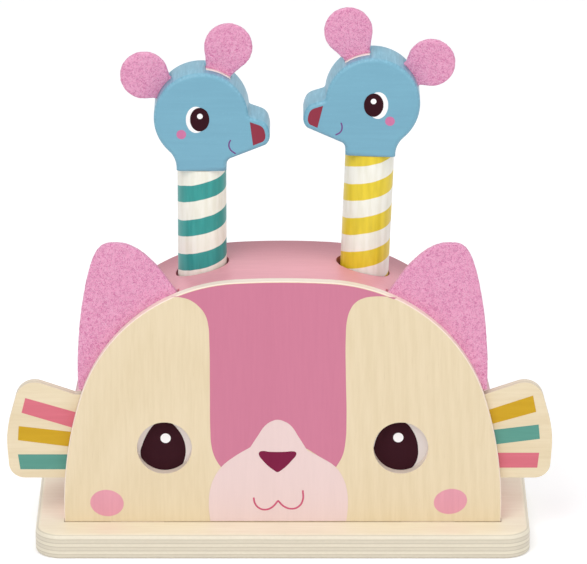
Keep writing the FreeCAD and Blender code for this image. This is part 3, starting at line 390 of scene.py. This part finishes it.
GLINT_WHITE = ink("glint white", (252, 250, 250), amount=0.1)
PUPIL = ink("pupil aubergine", (54, 22, 30), amount=0.15, rough=0.6, gloss=0.05)
WHISKER_PINK = ink("whisker pink", (214, 108, 124), "x")
WHISKER_YELLOW = ink("whisker yellow", (202, 158, 10), "x")
WHISKER_TEAL = ink("whisker teal", (84, 148, 134), "x")
MOUSE_NOSE = ink("mouse nose", (144, 52, 70), amount=0.2, gloss=0.15)
MOUSE_SMILE = ink("mouse smile", (118, 72, 136), amount=0.2, gloss=0.15)
MOUSE_CHEEK = ink("mouse cheek", (204, 116, 160), amount=0.3)

CAD_FINISHES = {
    "base_board": BASE_PLY, "front_panel": FACE_PLY, "back_panel": FACE_PLY, "roof_arch": ROOF_PINK,
    "guide_shelf": INSIDE_WOOD, "shelf_dowels": INSIDE_WOOD, "base_screws": STEEL,
    "whisker_slider": SLIDER_PLY, "slider_stop_pin": INSIDE_WOOD, "slider_rail_lower": INSIDE_WOOD,
    "slider_rail_upper": INSIDE_WOOD,
    "left_rod": striped("left rod stripes", (42, 158, 152), period=14.8 * MM, phase=0.613, share=0.48,
                        neck=NECK["left"], lean=LEAN["left"]),
    "right_rod": striped("right rod stripes", (238, 212, 44), period=14.7 * MM, phase=0.029,
                         share=0.495, neck=NECK["right"], lean=LEAN["right"]),
}
for side in LEAN:
    for part, material in (("head", MOUSE_BLUE), ("head_dowel", INSIDE_WOOD), ("collar", INSIDE_WOOD),
                           ("collar_screw", STEEL), ("spring_cap", CAP_PLASTIC), ("spring", STEEL),
                           ("spring_peg", INSIDE_WOOD)):
        CAD_FINISHES["%s_%s" % (side, part)] = material
for node, material in CAD_FINISHES.items():
    nodes[node].data.materials.clear()
    nodes[node].data.materials.append(material)


# Meshes
def select_only(piece):
    bpy.ops.object.select_all(action="DESELECT")
    piece.select_set(True)
    bpy.context.view_layer.objects.active = piece


def settle(piece):
    """Puts the piece's place into its mesh."""
    select_only(piece)
    bpy.ops.object.transform_apply(location=True, rotation=True, scale=True)


def as_mesh(curve, name, material):
    """The curve as a mesh piece, merged and facing outwards."""
    piece = bpy.data.objects.new(name, curve)
    bpy.context.scene.collection.objects.link(piece)
    piece.data.materials.append(material)
    select_only(piece)
    bpy.ops.object.convert(target="MESH")
    piece = bpy.context.view_layer.objects.active
    bpy.ops.object.mode_set(mode="EDIT")
    bpy.ops.mesh.select_all(action="SELECT")
    bpy.ops.mesh.remove_doubles(threshold=1e-6)
    bpy.ops.mesh.normals_make_consistent(inside=False)
    bpy.ops.object.mode_set(mode="OBJECT")
    return piece


def add_spline(curve, points, closed):
    """Bezier through (x, z) points in millimetres. A third value marks a corner."""
    spline = curve.splines.new("BEZIER")
    spline.bezier_points.add(len(points) - 1)
    spline.use_cyclic_u = closed
    for point, where in zip(spline.bezier_points, points):
        point.co = (where[0] * MM, where[1] * MM, 0)
        kind = "VECTOR" if len(where) > 2 else "AUTO"
        point.handle_left_type = point.handle_right_type = kind


def filled(name, outline, half_depth, resolution=12):
    """A closed outline as a filled curve, with its depth to each side of the drawing plane."""
    curve = bpy.data.curves.new(name, "CURVE")
    curve.dimensions = "2D"
    curve.fill_mode = "BOTH"
    curve.extrude = half_depth
    curve.resolution_u = resolution
    add_spline(curve, outline, True)
    return curve


def stand(piece, y, foot=0.0):
    """Stands a piece drawn in the XY plane up in the XZ plane at depth y, from the height foot."""
    piece.data.transform(Matrix.Translation((0, y, foot)) @ Matrix.Rotation(math.pi / 2, 4, "X"))
    return piece


def film_depth(y, over):
    """Depth of a film's middle on a face at y, where over counts the films under it."""
    return y - FILM * (0.5 + over) + FILM_SUNK


def owned(piece, body):
    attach(piece, body)
    return piece


def printed(name, outline, y, body, slot, material, over=0, foot=0.0):
    """A film of ink of a closed outline on a flat face."""
    piece = as_mesh(filled(name, outline, FILM / 2, 16), name, material)
    return owned(stand(piece, film_depth(y, over), foot), body)


def drawn_line(name, points, width, y, body, slot, material, over=0):
    """A drawn line of ink: an open path given a width in millimetres."""
    curve = bpy.data.curves.new(name, "CURVE")
    curve.dimensions = "3D"
    curve.resolution_u = 10
    add_spline(curve, points, False)
    curve.bevel_depth = width / 2 * MM
    curve.bevel_resolution = 3
    curve.use_fill_caps = True
    piece = as_mesh(curve, name, material)
    piece.data.transform(Matrix.Diagonal((1, 1, FILM / (width * MM), 1)))
    return owned(stand(piece, film_depth(y, over)), body)


def round_outline(x, z, rx, rz, tilt=0.0):
    """Points of an ellipse, for a smooth closed curve. tilt in degrees."""
    turn = math.radians(tilt)
    points = []
    for i in range(12):
        a = math.pi * i / 6
        u, v = rx * math.cos(a), rz * math.sin(a)
        points.append((x + u * math.cos(turn) - v * math.sin(turn),
                       z + u * math.sin(turn) + v * math.cos(turn)))
    return points


def flat_rim(piece, y):
    """Outer edge of a piece's flat face at depth y, as (x, z) points in metres, in order."""
    mesh = bmesh.new()
    mesh.from_mesh(piece.data)
    bmesh.ops.remove_doubles(mesh, verts=mesh.verts, dist=1e-6)
    flat = {f for f in mesh.faces if all(abs(v.co.y - y) < 1e-5 for v in f.verts)}
    rim = [e for e in mesh.edges if len(flat.intersection(e.link_faces)) == 1]
    beside = {}
    for edge in rim:
        for vert in edge.verts:
            beside.setdefault(vert, []).append(edge.other_vert(vert))
    loops, seen = [], set()
    for first in beside:
        if first in seen:
            continue
        loop, here = [], first
        while here is not None:
            seen.add(here)
            loop.append((here.co.x, here.co.z))
            here = next((v for v in beside[here] if v not in seen), None)
        loops.append(loop)
    mesh.free()
    return max(loops, key=lambda loop: max(p[0] for p in loop) - min(p[0] for p in loop))


# Cat face print, millimetres on the front panel
def crown_points(left, right):
    """The face's upper edge from right to left, as corner points a little inside it."""
    inset, lowest = 0.05, 60 * MM
    edge = flat_rim(nodes["front_panel"], FACE_Y)
    rim = [(x / MM, z / MM - inset, 1) for x, z in edge if z > lowest]
    return [p for p in sorted(rim, reverse=True) if left < p[0] < right]


def cat_face():
    face = dict(y=FACE_Y, body="housing", slot="face_print")
    tails = [(-45.5, 109.55, 1), (46.5, 109.15, 1)]
    crown = crown_points(-45.0, 46.0)
    printed("stripe_print", [
        tails[0], (-41.5, 109.3), (-37.5, 108.0), (-33.8, 105.0), (-31.5, 101.6), (-30.3, 97.0),
        (-29.9, 90.0), (-29.8, 70.0), (-29.7, 51.3), (-29.3, 44.5), (-28.2, 40.0), (-26.7, 36.8),
        (-25.4, 34.9, 1), (-14.0, 43.0, 1), (10.0, 43.0, 1), (22.0, 34.9, 1), (24.6, 39.9), (25.8, 46.0),
        (26.2, 56.0), (25.9, 74.0), (25.8, 92.0), (26.3, 99.5), (27.6, 103.9), (29.6, 106.9),
        (32.6, 108.8), (37.4, 109.7), (42.5, 109.6), tails[1]] + crown, material=STRIPE_PINK, **face)
    printed("muzzle_print", [
        (-29.9, 10.9, 1), (-30.5, 18.0), (-29.9, 25.0), (-28.2, 30.2), (-25.2, 35.0), (-19.8, 39.6),
        (-13.3, 43.7, 1), (-10.4, 48.4), (-7.0, 53.4), (-4.6, 55.1), (-2.0, 55.8), (0.6, 55.1),
        (3.2, 53.4), (6.6, 48.2), (10.1, 42.3, 1), (16.0, 39.0), (21.8, 34.9), (24.9, 30.0),
        (26.5, 24.5), (26.9, 18.0), (26.3, 10.9, 1)], material=MUZZLE_PINK, over=1, **face)
    printed("nose_print", [
        (-8.6, 42.0), (-5.5, 41.7), (-2.1, 41.6), (1.3, 41.7), (4.3, 41.9), (5.4, 41.5), (5.6, 40.6),
        (4.2, 38.4), (-0.9, 33.3), (-2.1, 32.7), (-3.3, 33.3), (-8.6, 38.4), (-9.8, 40.6),
        (-9.6, 41.5)], material=NOSE_MAROON, over=2, **face)
    drawn_line("mouth_print", [
        (-12.0, 21.4), (-11.4, 18.7), (-9.7, 16.7), (-7.3, 16.0), (-4.5, 17.0), (-1.9, 20.0, 1),
        (0.6, 17.4), (3.8, 16.4), (6.6, 17.4), (8.3, 20.4), (8.3, 24.6)],
        width=0.75, material=MOUTH_PINK, over=2, **face)
    printed("left_cheek_print", round_outline(-72.5, 18.9, 6.9, 5.8, -8), material=CHEEK_PINK, **face)
    printed("right_cheek_print", round_outline(69.2, 19.6, 6.9, 5.5, 12), material=CHEEK_PINK, **face)


cat_face()

# Eyes and whisker bars printed on the slider, heights in millimetres above the slider's lower edge
PUPILS = {
    "left": [(-49.0, 25.2), (-45.9, 24.2), (-43.1, 21.3), (-41.0, 17.5), (-40.0, 13.1), (-40.3, 9.0),
             (-41.5, 5.8), (-44.2, 3.2), (-48.6, 2.2), (-53.2, 2.7), (-56.2, 5.0), (-57.8, 7.8),
             (-58.6, 11.3), (-57.8, 14.6), (-56.3, 18.4), (-54.6, 21.4), (-52.1, 24.1)],
    "right": [(48.5, 25.2), (51.1, 23.9), (53.4, 20.9), (55.1, 17.1), (55.8, 12.7), (55.6, 9.0),
              (54.2, 5.6), (51.8, 3.2), (48.0, 2.0), (44.1, 2.6), (40.4, 5.0), (38.1, 7.8),
              (37.2, 10.9), (37.8, 14.4), (39.0, 18.4), (40.9, 21.2), (44.1, 24.1)],
}
# Ellipses of the eyes, by middle and two radii
GLINTS = {"left": (-48.2, 17.5, 2.1, 2.1), "right": (47.6, 17.8, 2.1, 2.1)}
EYE_WHITES = {"left": (-48.2, 15.0, 17.5, 14.0), "right": (47.2, 15.0, 17.5, 14.0)}
BARS = {
    "left_pink_bar": (WHISKER_PINK, [(-105.7, 35.2), (-76.0, 26.2), (-76.0, 18.8), (-107.3, 28.7)]),
    "left_yellow_bar": (WHISKER_YELLOW, [(-108.6, 22.8), (-76.0, 19.0), (-76.0, 12.2), (-109.0, 16.6)]),
    "left_teal_bar": (WHISKER_TEAL, [(-109.1, 10.3), (-76.0, 10.3), (-76.0, 3.7), (-108.2, 3.7)]),
    "right_yellow_bar": (WHISKER_YELLOW, [(102.8, 36.3), (76.0, 27.0), (76.0, 20.8), (104.2, 29.1)]),
    "right_teal_bar": (WHISKER_TEAL, [(105.3, 23.5), (76.0, 19.8), (76.0, 13.2), (105.9, 17.2)]),
    "right_pink_bar": (WHISKER_PINK, [(105.7, 11.0), (76.0, 11.0), (76.0, 4.4), (105.0, 4.4)]),
}


def slider_print():
    board = dict(y=SLIDER_Y, body="whiskers", slot="slider_print", foot=slider_low.z)
    for side, outline in PUPILS.items():
        white, glint = round_outline(*EYE_WHITES[side]), round_outline(*GLINTS[side])
        printed(side + "_eye_white_print", white, material=EYE_WHITE, **board)
        printed(side + "_pupil_print", outline, material=PUPIL, over=1, **board)
        printed(side + "_eye_glint_print", glint, material=GLINT_WHITE, over=2, **board)
    for name, (material, corners) in BARS.items():
        printed(name, [(x, z, 1) for x, z in corners], material=material, **board)


slider_print()


# Mice. Places on a head are millimetres from the neck: how far towards the snout, and how high.
def copy_of(node, name, material):
    """A merged copy of a CAD node's mesh as a new piece, which stands for that node."""
    piece = nodes[node].copy()
    piece.data = nodes[node].data.copy()
    piece.name = name
    bpy.context.scene.collection.objects.link(piece)
    piece.data.materials.clear()
    piece.data.materials.append(material)
    select_only(piece)
    bpy.ops.object.mode_set(mode="EDIT")
    bpy.ops.mesh.select_all(action="SELECT")
    bpy.ops.mesh.remove_doubles(threshold=1e-6)
    bpy.ops.object.mode_set(mode="OBJECT")
    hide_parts(node)
    return piece


def ease(value, low, high):
    """0 below low, 1 above high, smooth between."""
    t = min(1.0, max(0.0, (value - low) / (high - low)))
    return t * t * (3 - 2 * t)


def on_head(side):
    """Takes a place on a head, in metres from its neck, to the frame."""
    mirror = Matrix.Diagonal((1 if side == "left" else -1, 1, 1, 1))
    return Matrix.Translation(NECK[side]) @ Matrix.Rotation(LEAN[side], 4, "Y") @ mirror


def laid(side, points):
    """Points on a head as (x, z) points of the frame, both in millimetres."""
    place = on_head(side)
    moved = [place @ Vector((p[0] * MM, 0, p[1] * MM)) / MM for p in points]
    return [(m.x, m.z) + tuple(p[2:]) for m, p in zip(moved, points)]


# How far the fullest part of a snout's underside comes down and forward, in millimetres
SNOUT_DOWN, SNOUT_FORWARD = 1.75, 0.7
# Edges of a mouse's head that bend more than this stay sharp
SHARP_ANGLE = math.radians(35)


def mouse_head(side):
    """The CAD's head with a fuller underside to the snout."""
    head = copy_of(side + "_head", side + "_mouse_head", MOUSE_BLUE)
    place = on_head(side)
    back = place.inverted()
    for vert in head.data.vertices:
        local = back @ vert.co
        u, v = local.x / MM, local.z / MM
        fuller = ease(u, 9.0, 19.0) * (1.0 - ease(v, 11.0, 19.0))
        local.z -= SNOUT_DOWN * MM * fuller * (1.0 - 0.3 * ease(u, 22.0, 28.0))
        local.x += SNOUT_FORWARD * MM * fuller * ease(u, 20.0, 26.0)
        vert.co = place @ local
    select_only(head)
    bpy.ops.object.shade_smooth_by_angle(angle=SHARP_ANGLE)
    return owned(head, side + "_mouse")


def nose_patch(side, head, high, low):
    """The snout's tip on the flat front face, cut off by a slanting line through high and low."""
    back = on_head(side).inverted()
    rim = [back @ Vector((x, NECK[side].y, z)) / MM for x, z in flat_rim(head, HEAD_Y)]

    def ahead(point):
        """How far a point is on the snout's side of the line."""
        return point.x - high[0] - (low[0] - high[0]) * (high[1] - point.z) / (high[1] - low[1])

    tip = []
    for here, there in zip(rim, rim[1:] + rim[:1]):
        if ahead(here) > 0:
            tip.append(here)
        if (ahead(here) > 0) != (ahead(there) > 0):
            tip.append(here.lerp(there, ahead(here) / (ahead(here) - ahead(there))))
    return [(p.x, p.z, 1) for p in tip]


# Ellipses by middle and two radii, the smile's points, and the line that cuts off the nose
MOUSE_FACES = {
    "left": {"eye_white": (-2.1, 21.9, 4.1, 5.6), "pupil": (-0.6, 22.0, 3.9, 5.0),
             "glint": (-0.5, 23.4, 1.15, 1.15), "cheek": (-8.1, 15.6, 1.95, 1.95),
             "smile": [(11.9, 13.3), (11.2, 11.4), (11.8, 9.2), (13.9, 7.4)],
             "nose": ((19.8, 20.5), (21.2, 9.4))},
    "right": {"eye_white": (-2.2, 21.8, 4.1, 5.7), "pupil": (-0.4, 21.9, 3.95, 4.95),
              "glint": (-0.3, 23.5, 1.15, 1.15), "cheek": (-7.3, 15.3, 1.95, 1.95),
              "smile": [(12.5, 13.9), (12.0, 12.1), (12.5, 10.0), (14.5, 8.5)],
              "nose": ((20.0, 21.1), (21.9, 11.7))},
}
# Ink of each ellipse, and how many films are under it
MOUSE_INKS = {"eye_white": (GLINT_WHITE, 0), "pupil": (PUPIL, 1), "glint": (GLINT_WHITE, 2),
              "cheek": (MOUSE_CHEEK, 0)}

# Round crown of a head and middle of its front ear, in millimetres
CROWN_X, CROWN_Z, CROWN_RADIUS = 0.0, 22.1, 19.3
FRONT_EAR_X, FRONT_EAR_Z = 11.0, 49.8
# Strip of bare wood at the ear's slot: half its angle in degrees and its steps, how far it stands
# out of the crown and goes into it, half its depth, and how far its middle is in front of the ear
STRIP_HALF_ANGLE, STRIP_STEPS = 16.0, 8
STRIP_OUT, STRIP_IN = 0.07, 0.2
STRIP_HALF_DEPTH, STRIP_AHEAD = 1.5 * MM, 1.4 * MM


def slot_edge(side):
    """Bare wood along the front of the slot that holds the front ear."""
    name = side + "_slot_edge"
    middle = math.degrees(math.atan2(FRONT_EAR_Z - CROWN_Z, FRONT_EAR_X - CROWN_X))
    step = 2 * STRIP_HALF_ANGLE / STRIP_STEPS
    arc = [math.radians(middle - STRIP_HALF_ANGLE + step * i) for i in range(STRIP_STEPS + 1)]

    def along(radius, angles):
        return [(CROWN_X + radius * math.cos(a), CROWN_Z + radius * math.sin(a), 1) for a in angles]

    outline = along(CROWN_RADIUS + STRIP_OUT, arc) + along(CROWN_RADIUS - STRIP_IN, arc[::-1])
    strip = as_mesh(filled(name, laid(side, outline), STRIP_HALF_DEPTH), name, SLOT_WOOD)
    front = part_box(side + "_front_ear")[0][1]
    owned(stand(strip, front - STRIP_AHEAD), side + "_mouse")


def mouse_face(side):
    face = MOUSE_FACES[side]
    head_piece = mouse_head(side)
    prefix = side + "_mouse_"
    head = dict(y=HEAD_Y, body=side + "_mouse", slot="mouse_blue")
    for part, (material, over) in MOUSE_INKS.items():
        outline = laid(side, round_outline(*face[part]))
        printed(prefix + part, outline, material=material, over=over, **head)
    drawn_line(prefix + "smile", laid(side, face["smile"]), width=0.6, material=MOUSE_SMILE, **head)
    nose = nose_patch(side, head_piece, *face["nose"])
    printed(prefix + "nose", laid(side, nose), material=MOUSE_NOSE, **head)


for side in LEAN:
    mouse_face(side)
    slot_edge(side)


# Felt ears
FELT_GRID = 0.45 * MM
# Size and height of the felt's lumps in millimetres, coarse and fine
FELT_LUMPS = ((1.6, 0.26), (0.7, 0.24))
# Outline of the left cat ear in millimetres: the seen edge from its outer foot over the tip to its
# inner end, then the hidden part
CAT_EAR = [
    (-83.8, 67.2, 1), (-84.0, 74.0), (-83.9, 81.4), (-83.5, 88.4), (-83.0, 95.0), (-82.2, 101.9),
    (-81.0, 109.3), (-79.6, 116.3), (-78.2, 121.4), (-76.9, 125.0), (-75.3, 127.9), (-73.4, 129.7),
    (-71.2, 130.6), (-68.7, 130.9), (-66.3, 130.8), (-63.8, 130.3), (-61.4, 129.4), (-59.0, 128.1),
    (-56.6, 126.4), (-54.1, 124.1), (-51.7, 121.6), (-49.1, 118.4), (-46.3, 114.4), (-43.3, 110.2, 1),
    (-42.6, 109.0, 1), (-42.6, 101.6, 1), (-66.6, 79.4, 1), (-72.8, 67.2, 1)]


def felted(piece, body):
    """Soft edges and a matted, slightly lumpy surface."""
    select_only(piece)
    grid = piece.modifiers.new("grid", "REMESH")
    grid.mode = "VOXEL"
    grid.voxel_size = FELT_GRID
    soften = piece.modifiers.new("soften", "SMOOTH")
    soften.factor = 0.5
    soften.iterations = 6
    for size, strength in FELT_LUMPS:
        texture = bpy.data.textures.new(piece.name + " lumps", "CLOUDS")
        texture.noise_scale = size * MM
        texture.noise_depth = 2
        lumps = piece.modifiers.new("lumps", "DISPLACE")
        lumps.texture = texture
        lumps.texture_coords = "LOCAL"
        lumps.mid_level = 0.5
        lumps.strength = strength * MM
    for modifier in list(piece.modifiers):
        bpy.ops.object.modifier_apply(modifier=modifier.name)
    bpy.ops.object.shade_smooth()
    return owned(piece, body)


def cat_ear(side):
    node = "cat_ear_" + side
    low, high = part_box(node)
    mirror = 1 if side == "left" else -1
    outline = [(mirror * p[0],) + tuple(p[1:]) for p in CAT_EAR]
    curve = filled(node, outline, (high[1] - low[1]) / 2, 8)
    piece = stand(as_mesh(curve, "felt_" + node, FELT_PINK), (low[1] + high[1]) / 2)
    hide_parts(node)
    return felted(piece, "housing")


for side in LEAN:
    cat_ear(side)
    for which in ("back", "front"):
        ear = copy_of("%s_%s_ear" % (side, which), "%s_mouse_%s_felt" % (side, which), FELT_PINK)
        felted(ear, side + "_mouse")


# Springs
def squeezed_spring(side):
    """A merged copy of the spring on the housing, with a mesh of its own. How far it would close up as
    the rod is pressed down is worked out, but it is not squeezed.
    """
    node = side + "_spring"
    piece = owned(copy_of(node, side + "_lift_spring", STEEL), "housing")
    low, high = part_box(node)
    travel = -joints[side + "_lift"]["range_m"][0]
    keep = 1 - travel / (high[2] - low[2])
    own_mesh(piece)


for side in LEAN:
    squeezed_spring(side)


# Camera and light. The focus is in the photo's pixels, and the reach is the distance to the aim.
CAMERA_TILT = math.radians(20.0)
CAMERA_AIM = Vector((4.46 * MM, 0.5 * MM, 106.49 * MM))
CAMERA_FOCUS_PX = 5399.0
CAMERA_REACH = 2.2224
PHOTO_WIDTH_PX = 587
camera_data = bpy.data.cameras.new("camera")
camera_data.sensor_width = 36.0
camera_data.lens = CAMERA_FOCUS_PX / PHOTO_WIDTH_PX * camera_data.sensor_width
camera_data.clip_end = 20.0
camera = bpy.data.objects.new("camera", camera_data)
bpy.context.scene.collection.objects.link(camera)
backwards = Vector((0, -math.cos(CAMERA_TILT), math.sin(CAMERA_TILT)))
camera.location = CAMERA_AIM + backwards * CAMERA_REACH
camera.rotation_euler = (math.pi / 2 - CAMERA_TILT, 0, 0)
bpy.context.scene.camera = camera
bpy.context.scene.view_settings.view_transform = "Standard"


def lamp(name, location, size, energy, target=(0, 0, 0.1)):
    data = bpy.data.lights.new(name, "AREA")
    data.size = size
    data.energy = energy
    light = bpy.data.objects.new(name, data)
    light.location = location
    light.rotation_euler = (Vector(target) - Vector(location)).to_track_quat("-Z", "Y").to_euler()
    bpy.context.scene.collection.objects.link(light)


lamp("key", (-0.7, -1.3, 1.6), 1.2, 17.6)
lamp("fill", (1.3, -1.1, 0.9), 1.4, 7.0)
lamp("top", (0.1, 0.3, 1.8), 1.4, 7.0)

# The world's strength as light on the toy and where it is seen, and the floor's glow
WORLD_LIGHT, WORLD_SEEN = 0.5, 1.0
FLOOR_GLOW = (0.27, 0.27, 0.27, 1)


def seen_plainly(tree):
    """1 for camera, glossy and transmission rays, 0 for the light that falls on the toy."""
    path = tree.nodes.new("ShaderNodeLightPath")
    total = path.outputs["Is Camera Ray"]
    for ray in ("Is Glossy Ray", "Is Transmission Ray"):
        add = tree.nodes.new("ShaderNodeMath")
        add.operation = "MAXIMUM"
        tree.links.new(total, add.inputs[0])
        tree.links.new(path.outputs[ray], add.inputs[1])
        total = add.outputs[0]
    return total


def studio():
    world = bpy.data.worlds.new("studio")
    bpy.context.scene.world = world
    world.use_nodes = True
    background = world.node_tree.nodes["Background"]
    background.inputs["Color"].default_value = (1, 1, 1, 1)
    strength = world.node_tree.nodes.new("ShaderNodeMapRange")
    strength.inputs["To Min"].default_value = WORLD_LIGHT
    strength.inputs["To Max"].default_value = WORLD_SEEN
    world.node_tree.links.new(seen_plainly(world.node_tree), strength.inputs["Value"])
    world.node_tree.links.new(strength.outputs["Result"], background.inputs["Strength"])


def floor():
    """White sweep that glows a little where it is seen, so it is white and keeps the toy's shadow."""
    bpy.ops.mesh.primitive_plane_add(size=6.0, location=(0, 1.0, 0))
    piece = bpy.context.active_object
    piece.name = "floor"
    shade = Shade("white sweep")
    fine = shade.noise(shade.place(scale=(0.3, 0.3, 0.3)), 1.0, 2.0)
    shade.finish(shade.mix(fine, (0.86, 0.86, 0.87, 1), (0.88, 0.88, 0.89, 1)), 0.9)
    glow = shade.mix(seen_plainly(shade.tree), (0, 0, 0, 1), FLOOR_GLOW)
    shade.tree.links.new(glow, shade.surface.inputs["Emission Color"])
    shade.surface.inputs["Emission Strength"].default_value = 1.0
    piece.data.materials.append(shade.material)
    settle(piece)


studio()
floor()
